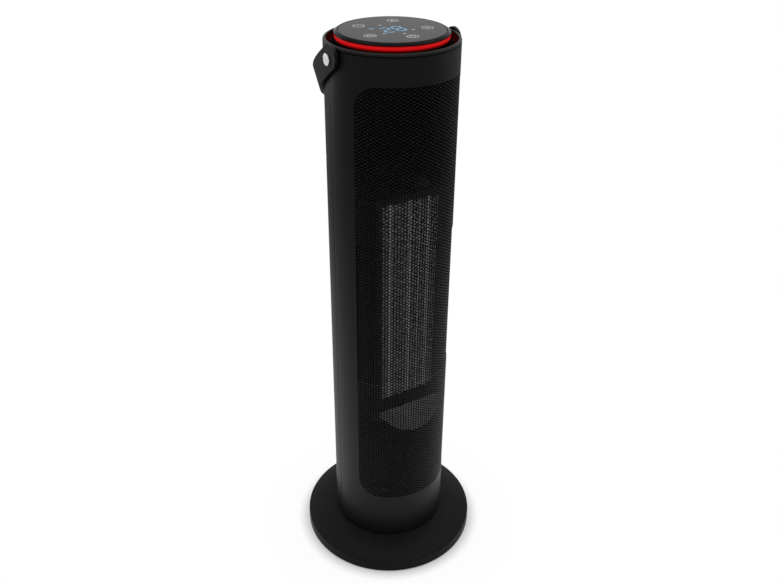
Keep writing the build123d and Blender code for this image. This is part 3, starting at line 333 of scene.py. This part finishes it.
def add_grain(tree, surface, grain, height, smooth, rough, gloss):
    """Gives a shader its grain, and a roughness that runs with it from smooth to rough."""
    texture = grained(tree, grain, height)
    feed(
        tree, surface, Roughness=ramp(tree, texture["Mask"], 0.0, 1.0, smooth, rough),
        Normal=texture["Normal"], Specular_IOR_Level=gloss,
    )


def plastic(name, color, roughness, spread, gloss, grain, height, variation=0.12, dust=0.06):
    """Moulded plastic, rubber or painted sheet with grain, slow tone changes and light dust."""
    material, tree, surface = start_material(name)
    feed(tree, surface, Base_Color=toned(tree, color, Variation=variation, Dust=dust))
    add_grain(tree, surface, grain, height, roughness - spread, roughness + spread, gloss)
    return material


def metal(name, color, smooth, rough, stretch, height, metallic=1.0):
    """Drawn, rolled, plated or ground metal."""
    material, tree, surface = start_material(name)
    brushed = node(
        tree, "ShaderNodeGroup",
        node_tree=BRUSH, Stretch=stretch, Low=smooth, High=rough, Height=height,
    )
    feed(
        tree, surface,
        Base_Color=toned(tree, color, Variation=0.25, Scale=60.0, Dust=0.03),
        Roughness=brushed.outputs["Roughness"], Normal=brushed.outputs["Normal"],
        Metallic=metallic,
    )
    return material


def lit_ring(name):
    """Light guide lit red from inside, a little uneven round its length and dim under the bezel."""
    material, tree, surface = start_material(name)
    place = object_place(tree)
    uneven = node(tree, "ShaderNodeTexNoise", Vector=place, Scale=22.0, Detail=2.0)
    glow = blend(tree, uneven.outputs["Fac"], (0.42, 0.004, 0.005, 1), (0.66, 0.007, 0.009, 1))
    height = split(tree, place)["Z"]
    shown = ramp(tree, height, RING_TOP, RING_TOP - RING_SHADE, low=0.08, high=1.0)
    straight = node(tree, "ShaderNodeLightPath").outputs["Is Camera Ray"]
    feed(
        tree, surface, Base_Color=(0.06, 0.002, 0.002, 1),
        Emission_Color=blend(tree, shown, (0, 0, 0, 1), glow),
        Emission_Strength=ramp(tree, straight, 0.0, 1.0, low=RING_GLOW, high=1.0),
    )
    add_grain(tree, surface, grain=900.0, height=0.05, smooth=0.25, rough=0.45, gloss=0.08)
    return material


def sheet_finish(name):
    """Powder-coated perforated sheet, with painted glints: the holes' lower rims, which look up,
    are painted pale.
    """
    material, tree, surface = start_material(name)
    # The strong dust on this sheet is partly dust and partly painted glints on faces that look up.
    coat = toned(tree, (0.0022, 0.0022, 0.0023), Variation=0.12, Dust=0.3)
    painted_glint_rims = looks_up(tree, start=0.55, end=0.9)
    feed(tree, surface, Base_Color=blend(tree, painted_glint_rims, coat, (0.17, 0.17, 0.17, 1)))
    add_grain(tree, surface, grain=2600.0, height=0.3, smooth=0.32, rough=0.52, gloss=0.07)
    return material


def sill_finish(name):
    """Grey sloped plate, with painted shade at both ends, which are black."""
    material, tree, surface = start_material(name)
    away = calculate(tree, "ABSOLUTE", split(tree, object_place(tree))["X"])
    painted_shade_ends = ramp(tree, away, SILL_REACH - 1 * MM, SILL_REACH)
    grey = toned(tree, (0.5, 0.5, 0.505), Variation=0.12, Dust=0.1)
    feed(tree, surface, Base_Color=blend(tree, painted_shade_ends, grey, (0.004, 0.004, 0.004, 1)))
    add_grain(tree, surface, grain=1500.0, height=0.15, smooth=0.42, rough=0.58, gloss=0.2)
    return material


def tray_finish(name):
    """Black tray with a paler lip, whose groove walls carry a painted red glow for the light that
    leaks out of the ring.
    """
    material, tree, surface = start_material(name)
    place = object_place(tree)
    height = split(tree, place)["Z"]
    radius = vector_length(tree, multiply_vectors(tree, place, (1, 1, 0)))

    def both(first, second):
        return calculate(tree, "MULTIPLY", first, second)

    groove = both(
        ramp(tree, height, GROOVE_TOP, GROOVE_TOP - 1 * MM),
        ramp(tree, radius, GROOVE_RADIUS + 0.2 * MM, GROOVE_RADIUS),
    )
    outer_wall = both(groove, ramp(tree, radius, GROOVE_RADIUS - 6 * MM, GROOVE_RADIUS - 1 * MM))
    lip_height = both(
        ramp(tree, height, GROOVE_TOP - 2 * MM, GROOVE_TOP - 1.6 * MM),
        ramp(tree, height, GROOVE_TOP + 0.95 * MM, GROOVE_TOP + 0.7 * MM),
    )
    lip = both(
        lip_height, ramp(tree, radius, GROOVE_RADIUS + 0.2 * MM, GROOVE_RADIUS + 0.7 * MM)
    )
    near_ring = ramp(tree, height, RING_LEVEL - PAINTED_GLOW_REACH, RING_LEVEL)
    boss = both(
        both(near_ring, near_ring),
        ramp(tree, radius, BOSS_RADIUS + 1 * MM, BOSS_RADIUS + 0.5 * MM),
    )
    # Painted red glow: emission on the boss and the groove's outer wall, standing in for the ring's
    # light falling there.
    light = calculate(tree, "MULTIPLY_ADD", boss, BOSS_PAINTED_GLOW, both(outer_wall, WALL_PAINTED_GLOW))
    painted_red_glow = node(tree, "ShaderNodeCombineColor", Red=light)
    black = toned(tree, (0.003, 0.003, 0.0032), Variation=0.12, Dust=0.0)
    feed(
        tree, surface, Emission_Color=painted_red_glow.outputs["Color"], Emission_Strength=1.0,
        Base_Color=blend(tree, lip, black, (0.022, 0.022, 0.022, 1)),
        Roughness=ramp(tree, groove, 0.0, 1.0, low=0.36, high=1.0),
        Normal=grained(tree, grain=1600.0, height=0.06)["Normal"],
        Specular_IOR_Level=ramp(tree, groove, 0.0, 1.0, low=0.05, high=0.01),
    )
    return material


def printed(name, color, light):
    """Thin printed or lit mark under the panel's surface."""
    material, tree, surface = start_material(name)
    patches = node(tree, "ShaderNodeTexNoise", Vector=object_place(tree), Scale=900.0, Detail=2.0)
    faint = [0.8 * part for part in color]
    tone = blend(tree, patches.outputs["Fac"], (*faint, 1), (*color, 1))
    feed(
        tree, surface,
        Base_Color=tone, Emission_Color=tone, Emission_Strength=light, Roughness=0.35,
    )
    return material


# Plastics: colour, roughness, its spread, gloss, grain's scale and height, tone changes, dust
PLASTICS = {
    "satin_black": ((0.0036, 0.0036, 0.0039), 0.42, 0.08, 0.18, 2200, 0.12),
    "base_black": ((0.0125, 0.0125, 0.0128), 0.42, 0.05, 0.04, 2200, 0.05),
    "rim_black": ((0.005, 0.005, 0.0053), 0.3, 0.06, 0.16, 1600, 0.06),
    "bezel_grey": ((0.002, 0.002, 0.0022), 0.22, 0.05, 0.035, 1500, 0.03, 0.05, 0.0),
    "panel_black": ((0.02, 0.02, 0.0206), 0.18, 0.04, 0.035, 1500, 0.02, 0.05, 0.0),
    "handle_black": ((0.0065, 0.0065, 0.0068), 0.48, 0.08, 0.085, 2000, 0.25),
    "foot_rubber": ((0.02, 0.02, 0.02), 0.75, 0.1, 0.3, 1400, 0.3, 0.2, 0.1),
    "nylon_white": ((0.7, 0.69, 0.64), 0.5, 0.08, 0.4, 1200, 0.08, 0.06, 0.0),
    "inner_black": ((0.016, 0.016, 0.017), 0.55, 0.1, 0.3, 1500, 0.2, 0.2, 0.1),
    "board_green": ((0.008, 0.03, 0.014), 0.35, 0.08, 0.4, 700, 0.2, 0.3, 0.05),
    "relay_case": ((0.008, 0.011, 0.02), 0.4, 0.06, 0.4, 1400, 0.1),
    "capacitor_sleeve": ((0.01, 0.01, 0.018), 0.3, 0.05, 0.5, 1400, 0.05),
    "cutout_ceramic": ((0.06, 0.05, 0.04), 0.6, 0.1, 0.3, 1300, 0.25),
    "fan_black": ((0.02, 0.02, 0.021), 0.5, 0.1, 0.3, 1600, 0.15),
    "switch_black": ((0.01, 0.01, 0.0105), 0.3, 0.06, 0.4, 1500, 0.08),
}
# Metals: colour, lowest and highest roughness, scratches across each axis, their depth, metallic
METALS = {
    "pin_steel": ((0.5, 0.5, 0.51), 0.2, 0.4, (60.0, 1500.0, 1500.0), 0.06),
    "zinc_steel": ((0.6, 0.61, 0.62), 0.3, 0.55, (300.0, 300.0, 300.0), 0.15),
    "shaft_steel": ((0.56, 0.56, 0.57), 0.2, 0.4, (80.0, 80.0, 2600.0), 0.1),
    "fin_aluminium": ((0.7, 0.7, 0.7), 0.5, 0.7, (1200.0, 40.0, 1200.0), 0.12, 0.35),
    "tube_aluminium": ((0.95, 0.95, 0.95), 0.4, 0.6, (1500.0, 1500.0, 20.0), 0.1, 0.2),
    "terminal_brass": ((0.66, 0.47, 0.2), 0.25, 0.45, (400.0, 400.0, 400.0), 0.1),
    "core_steel": ((0.1, 0.1, 0.1), 0.4, 0.6, (30.0, 30.0, 1400.0), 0.3, 0.7),
    "motor_can": ((0.05, 0.05, 0.052), 0.35, 0.6, (200.0, 200.0, 200.0), 0.15),
}
MATERIALS = {
    **{name: plastic(name, *values) for name, values in PLASTICS.items()},
    **{name: metal(name, *values) for name, values in METALS.items()},
    "grille_black": sheet_finish("grille_black"),
    "ring_red": lit_ring("ring_red"),
    "sill_grey": sill_finish("sill_grey"),
    "digit_blue": printed("digit_blue", (0.06, 0.24, 0.42), 0.65),
    "lamp_white": printed("lamp_white", (0.45, 0.45, 0.46), 0.4),
}
# Nodes whose finish differs a little from that of their slot
OWN_FINISHES = {
    "rear_shell": plastic("rear_black", (0.006, 0.006, 0.0064), 0.42, 0.08, 0.1, 2200, 0.12),
    "top_tray": tray_finish("tray_black"),
}


def dress_nodes():
    """Gives every CAD node the finish that its record slot names."""
    slots = {row["node"]: row["material_slot"] for row in frame["record"]["subparts"]}
    for name, piece in frame["nodes"].items():
        material = OWN_FINISHES.get(name, MATERIALS[slots[name]])
        piece.data.materials.clear()
        piece.data.materials.append(material)


def finish_piece(shape, name, body, slot):
    """Turns a bmesh into a piece that rides on a body."""
    bmesh.ops.recalc_face_normals(shape, faces=shape.faces)
    mesh = bpy.data.meshes.new(name)
    shape.to_mesh(mesh)
    shape.free()
    mesh.materials.append(MATERIALS[slot])
    for face in mesh.polygons:
        face.use_smooth = True
    mesh.set_sharp_from_angle(angle=radians(30))
    piece = bpy.data.objects.new(name, mesh)
    bpy.context.scene.collection.objects.link(piece)
    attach(piece, body)
    return piece


# Perforated front sheet

def opening_distance(across, up, half_width, low, high, corner):
    """How far a point of the flat sheet lies outside a rounded outline."""
    side = abs(across) - (half_width - corner)
    rise = abs(up - (low + high) / 2) - ((high - low) / 2 - corner)
    return hypot(max(side, 0), max(rise, 0)) + min(max(side, rise), 0) - corner


def whole(sheet):
    return sheet.verts[:] + sheet.edges[:] + sheet.faces[:]


def copy_moved(sheet, parts, shift):
    copy = bmesh.ops.duplicate(sheet, geom=parts)["geom"]
    moved = [part for part in copy if isinstance(part, bmesh.types.BMVert)]
    bmesh.ops.translate(sheet, verts=moved, vec=shift)


def perforated_sheet(half_width, low, high):
    """Flat sheet full of staggered holes, larger than its outline."""
    cell_radius = HOLE_PITCH / 3 ** 0.5
    column_step = 1.5 * cell_radius
    rows = int((high - low) / HOLE_PITCH) + 3
    columns = int(2 * half_width / column_step) + 3
    sheet = bmesh.new()
    quarter_turn = Matrix.Rotation(pi / 2, 4, "Z")
    bmesh.ops.create_circle(sheet, segments=6, radius=cell_radius, matrix=quarter_turn)
    bmesh.ops.create_circle(sheet, segments=HOLE_SIDES, radius=HOLE_RADIUS)
    bmesh.ops.triangle_fill(sheet, edges=sheet.edges[:], use_beauty=True)
    cell = whole(sheet)
    first_row = (low + high) / 2 - HOLE_PITCH * (rows - 1) / 2
    bmesh.ops.translate(sheet, verts=sheet.verts, vec=(0, first_row, 0))
    for row in range(1, rows):
        copy_moved(sheet, cell, (0, row * HOLE_PITCH, 0))
    strip = whole(sheet)
    first_column = -column_step * (columns - 1) / 2
    bmesh.ops.translate(sheet, verts=sheet.verts, vec=(first_column, 0, 0))
    for column in range(1, columns):
        copy_moved(sheet, strip, (column * column_step, HOLE_PITCH / 2 * (column % 2), 0))
    bmesh.ops.remove_doubles(sheet, verts=sheet.verts, dist=MERGE_DISTANCE)
    return sheet


def close_margin_holes(sheet, half_width, low, high, corner):
    """Fills the holes that would lie in the plain border behind the shell."""
    border = []
    for edge in sheet.edges:
        if not edge.is_boundary:
            continue
        far = [opening_distance(v.co.x, v.co.y, half_width, low, high, corner) for v in edge.verts]
        if min(far) > 0.5 * HOLE_RADIUS:
            border.append(edge)
    bmesh.ops.holes_fill(sheet, edges=border, sides=HOLE_SIDES)


def cut_sheet(sheet, place, outward):
    """Trims the flat sheet along a straight line."""
    bmesh.ops.bisect_plane(
        sheet, geom=whole(sheet), plane_co=place, plane_no=outward, clear_outer=True
    )


def trim_outline(sheet, half_width, low, high, corner):
    """Cuts the sheet to a rounded rectangle."""
    cut_sheet(sheet, (half_width, 0, 0), (1, 0, 0))
    cut_sheet(sheet, (-half_width, 0, 0), (-1, 0, 0))
    cut_sheet(sheet, (0, high, 0), (0, 1, 0))
    cut_sheet(sheet, (0, low, 0), (0, -1, 0))
    for side in (-1, 1):
        for rise, level in ((-1, low + corner), (1, high - corner)):
            for step in range(CORNER_CUTS):
                angle = pi / 2 * (step + 1) / (CORNER_CUTS + 1)
                outward = Vector((side * cos(angle), rise * sin(angle), 0))
                centre = Vector((side * (half_width - corner), level, 0))
                cut_sheet(sheet, centre + corner * outward, outward)


def bend_sheet(sheet, radius):
    """Rolls the flat sheet round the column's axis."""
    for vertex in sheet.verts:
        angle = vertex.co.x / radius
        vertex.co = (radius * sin(angle), -radius * cos(angle), vertex.co.y)


def make_grille():
    """Replaces the sheet by the finely perforated one, bent to the column, in three lengths."""
    low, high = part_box("front_grille")
    radius = -low.y
    half_width = radius * asin(high.x / radius)
    flat = perforated_sheet(half_width, low.z, high.z)
    close_margin_holes(
        flat, half_width - SHEET_MARGIN, low.z + SHEET_MARGIN, high.z - SHEET_MARGIN,
        OPENING_CORNER,
    )
    trim_outline(flat, half_width, low.z, high.z, OPENING_CORNER + SHEET_MARGIN)
    length = (high.z - low.z) / SHEET_LENGTHS
    for number in range(SHEET_LENGTHS):
        strip = flat.copy()
        cut_sheet(strip, (0, low.z + number * length, 0), (0, -1, 0))
        cut_sheet(strip, (0, low.z + (number + 1) * length, 0), (0, 1, 0))
        bend_sheet(strip, radius)
        bmesh.ops.recalc_face_normals(strip, faces=strip.faces)
        bmesh.ops.solidify(strip, geom=strip.faces[:], thickness=SHEET_THICKNESS)
        piece = finish_piece(strip, f"grille_length_{number + 1}", "column", "grille_black")
        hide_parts("front_grille")
    flat.free()


# Plates beside the blower case that keep the air, and the view, from passing it

def make_baffles():
    case_low, case_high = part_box("scroll_wall")
    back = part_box("element_frame")[1].y
    shape = bmesh.new()
    near = -case_low.x + BAFFLE_GAP
    far = (COLUMN_BORE ** 2 - back ** 2) ** 0.5 - BAFFLE_GAP
    size = (far - near, BAFFLE_THICKNESS, case_high.z - case_low.z - 2 * BAFFLE_GAP, 1)
    for side in (-1, 1):
        middle = (
            side * (near + far) / 2, back + BAFFLE_THICKNESS, (case_low.z + case_high.z) / 2
        )
        move = Matrix.Translation(middle) @ Matrix.Diagonal(size)
        bmesh.ops.create_cube(shape, size=1, matrix=move)
    finish_piece(shape, "side_baffles", "column", "inner_black")


# Marks on the touch panel

def flat_ring(shape, place, outer, inner, segments=40):
    """Thin flat ring."""
    before = set(shape.verts)
    move = Matrix.Translation(place)
    bmesh.ops.create_circle(shape, segments=segments, radius=outer, matrix=move)
    bmesh.ops.create_circle(shape, segments=segments, radius=inner, matrix=move)
    ring = [v for v in shape.verts if v not in before]
    edges = list({edge for v in ring for edge in v.link_edges})
    bmesh.ops.triangle_fill(shape, edges=edges, use_beauty=True)


def flat_bar(shape, place, length, width, turn):
    """Thin flat bar with its middle at a place, turned from +X."""
    move = Matrix.Translation(place) @ Matrix.Rotation(turn, 4, "Z")
    stretch = Matrix.Diagonal((length, width, 1, 1))
    bmesh.ops.create_grid(shape, x_segments=1, y_segments=1, size=0.5, matrix=move @ stretch)


def thicken(shape):
    bmesh.ops.recalc_face_normals(shape, faces=shape.faces)
    bmesh.ops.solidify(shape, geom=shape.faces[:], thickness=MARK_THICKNESS)


def draw_sign(mark, place, number):
    """Generic signs: power, plus, fan, minus and timer."""
    reach = SIGN_REACH

    def line(up, length):
        flat_bar(mark, place + Vector((0, up * reach, 0)), length * reach, ICON_LINE, pi / 2)

    if number == 0:
        flat_ring(mark, place, reach, reach - ICON_LINE, segments=24)
        line(up=1.0, length=0.9)
    elif number == 1:
        flat_bar(mark, place, 2 * reach, ICON_LINE, 0)
        line(up=0.6, length=0.9)
        line(up=-0.6, length=0.9)
    elif number == 2:
        for blade in range(3):
            turn = pi / 2 + blade * 2 * pi / 3
            out = Vector((cos(turn), sin(turn), 0))
            flat_bar(mark, place + 0.6 * reach * out, 0.9 * reach, 2 * ICON_LINE, turn + 0.5)
    elif number == 3:
        flat_bar(mark, place, 2 * reach, ICON_LINE, 0)
    else:
        flat_ring(mark, place, reach, reach - ICON_LINE, segments=24)
        line(up=0.3, length=0.6)


def make_touch_icons(level):
    """Five round touch marks, each with its own plain sign inside."""
    for number, azimuth in enumerate(ICON_AZIMUTHS):
        angle = radians(azimuth)
        place = Vector((ICON_CIRCLE * cos(angle), ICON_CIRCLE * sin(angle), level))
        mark = bmesh.new()
        flat_ring(mark, place, ICON_RADIUS, ICON_RADIUS - ICON_LINE)
        draw_sign(mark, place, number)
        thicken(mark)
        finish_piece(mark, f"touch_icon_{number + 1}", "column", "lamp_white")


def draw_digit(shape, place, digit):
    """Seven-segment figure standing up towards the back of the panel."""
    half = DIGIT_HEIGHT / 2
    side = DIGIT_WIDTH / 2
    bars = {
        "a": ((0, half), 0, DIGIT_WIDTH),
        "b": ((side, half / 2), pi / 2, half),
        "c": ((side, -half / 2), pi / 2, half),
        "d": ((0, -half), 0, DIGIT_WIDTH),
        "e": ((-side, -half / 2), pi / 2, half),
        "f": ((-side, half / 2), pi / 2, half),
        "g": ((0, 0), 0, DIGIT_WIDTH),
    }
    for key in DIGIT_SEGMENTS[digit]:
        (across, up), turn, length = bars[key]
        middle = place + Vector((across, up, 0))
        flat_bar(shape, middle, length - 1.2 * DIGIT_LINE, DIGIT_LINE, turn)


def make_display(level):
    """Two lit figures in the middle of the panel and the small lamps round them."""
    figures = bmesh.new()
    for across, digit in DIGITS:
        draw_digit(figures, Vector((across, DIGIT_LEVEL, level)), digit)
    flat_bar(figures, Vector((*BAR_PLACE, level)), BAR_LENGTH, BAR_WIDTH, BAR_TURN)
    thicken(figures)
    finish_piece(figures, "display_digits", "column", "digit_blue")
    lamps = bmesh.new()
    for across, up in LAMP_PLACES:
        flat_bar(lamps, Vector((across * MM, up * MM, level)), LAMP_LENGTH, LAMP_WIDTH, 0)
    thicken(lamps)
    finish_piece(lamps, "display_lamps", "column", "lamp_white")


# Stage, lights and camera

def floor_material():
    """White for the views, with a close soft shadow, and matt and pale for the light."""
    material = bpy.data.materials.new("pale_floor")
    material.use_nodes = True
    tree = material.node_tree
    tree.nodes.clear()
    matt = node(tree, "ShaderNodeBsdfDiffuse", Color=(0.9, 0.9, 0.9, 1)).outputs[0]
    near = node(tree, "ShaderNodeAmbientOcclusion", Distance=CONTACT_SHADOW, samples=16)
    shadow = calculate(tree, "POWER", near.outputs["AO"], 0.9)
    away = vector_length(tree, object_place(tree))
    fade = ramp(tree, away, DIM_START, DIM_END, low=0.0, high=DIM_SHARE)
    off_gloss = node(tree, "ShaderNodeLightPath").outputs["Is Glossy Ray"]
    strength = calculate(tree, "SUBTRACT", 1.0, calculate(tree, "MULTIPLY", fade, off_gloss))
    white = node(tree, "ShaderNodeEmission", Color=shadow, Strength=strength).outputs[0]
    matt_share = ramp(tree, away, MATT_END, MATT_START, low=MATT_SHARE, high=0.0)
    soft = mix_shaders(tree, matt_share, white, matt)
    seen = mix_shaders(tree, shows_background(tree), matt, soft)
    node(tree, "ShaderNodeOutputMaterial", Surface=seen)
    return material


def make_floor():
    shape = bmesh.new()
    bmesh.ops.create_grid(shape, x_segments=1, y_segments=1, size=FLOOR_REACH)
    mesh = bpy.data.meshes.new("floor")
    shape.to_mesh(mesh)
    shape.free()
    mesh.materials.append(floor_material())
    floor = bpy.data.objects.new("floor", mesh)
    bpy.context.scene.collection.objects.link(floor)


def make_world():
    """White where it is seen, and dimmer for the light."""
    world = bpy.data.worlds.new("studio")
    bpy.context.scene.world = world
    world.use_nodes = True
    tree = world.node_tree
    tree.nodes.clear()
    dim = node(tree, "ShaderNodeBackground", Color=(1, 1, 1, 1), Strength=WORLD_LIGHT).outputs[0]
    white = node(tree, "ShaderNodeBackground", Color=(1, 1, 1, 1), Strength=1.0).outputs[0]
    seen = mix_shaders(tree, shows_background(tree), dim, white)
    node(tree, "ShaderNodeOutputWorld", Surface=seen)


def make_light(name, place, target, size, power):
    data = bpy.data.lights.new(name, "AREA")
    data.shape = "RECTANGLE"
    data.size, data.size_y = size
    data.energy = power
    light = bpy.data.objects.new(name, data)
    bpy.context.scene.collection.objects.link(light)
    aim = (Vector(target) - Vector(place)).to_track_quat("-Z", "Y")
    light.matrix_world = Matrix.Translation(place) @ aim.to_matrix().to_4x4()


def make_camera():
    """Camera on the place and turn that fit the photograph."""
    yaw, pitch, roll = CAMERA_YAW, CAMERA_PITCH, CAMERA_ROLL
    ahead = Vector((sin(yaw) * cos(pitch), cos(yaw) * cos(pitch), -sin(pitch)))
    right = Vector((cos(yaw), -sin(yaw), 0))
    up = right.cross(ahead)
    rolled_right = cos(roll) * right + sin(roll) * up
    rolled_up = cos(roll) * up - sin(roll) * right
    turn = Matrix((rolled_right, rolled_up, -ahead)).transposed()
    around = Matrix.Rotation(-CAMERA_TURN, 3, "Z")
    data = bpy.data.cameras.new("camera")
    data.sensor_fit = "HORIZONTAL"
    data.sensor_width = SENSOR_WIDTH
    data.lens = FOCAL_PIXELS * SENSOR_WIDTH / IMAGE_WIDTH
    camera = bpy.data.objects.new("camera", data)
    bpy.context.scene.collection.objects.link(camera)
    camera.matrix_world = Matrix.Translation(CAMERA_PLACE) @ (around @ turn).to_4x4()
    bpy.context.scene.camera = camera


bpy.context.scene.view_settings.view_transform = "Standard"
make_camera()
make_floor()
make_world()
make_light("overhead", place=(0.3, 0.2, 2.2), target=(0, 0, 0.3), size=(2.0, 2.0), power=18)
make_light("left_wall", place=(-0.85, 1.8, 0.7), target=(0, 0, 0.35), size=(0.8, 1.6), power=6)
make_light("right_edge", place=(1.6, -0.7, 1.0), target=(0, 0, 0.35), size=(0.5, 1.6), power=2)
dress_nodes()
make_grille()
make_baffles()
mark_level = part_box("panel_glass")[1].z + MARK_LIFT
make_touch_icons(mark_level)
make_display(mark_level)
